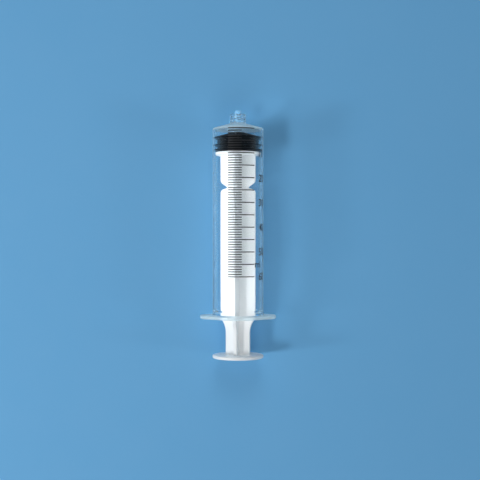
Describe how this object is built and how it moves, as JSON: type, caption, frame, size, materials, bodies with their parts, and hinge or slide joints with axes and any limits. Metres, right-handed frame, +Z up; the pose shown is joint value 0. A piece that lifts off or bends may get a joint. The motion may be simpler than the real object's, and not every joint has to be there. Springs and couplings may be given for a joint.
{
  "type": "luer lock syringe",
  "caption": "Large clear luer lock syringe with a black ribbed stopper, a white cross-bladed plunger rod, finger flange and printed millilitre scale.",
  "frame": {"origin": "on the surface the syringe lies on, under the middle of its whole length", "axes": "+Y along the syringe's axis towards the nozzle, +Z up, +X across the finger flange"},
  "size_m": [0.047, 0.1532, 0.0326],
  "materials": {
    "clear_plastic": "gloss",
    "black_ink": "satin",
    "black_rubber": "satin",
    "white_plastic": "satin"
  },
  "bodies": {
    "barrel": {"barrel": "clear_plastic", "printed_scale": "black_ink"},
    "stopper": {"stopper": "black_rubber"},
    "plunger": {"plunger_rod": "white_plastic"}
  },
  "joints": [
    {"name": "stopper_slide", "type": "slide", "parent": "barrel", "child": "stopper", "axis": [0, -1, 0], "range_m": [-0.0043, 0.0979]},
    {"name": "rod_turn", "type": "hinge", "parent": "stopper", "child": "plunger", "pos_m": [0, 0.05078, 0.0163], "axis": [0, 1, 0], "continuous": true}
  ]
}
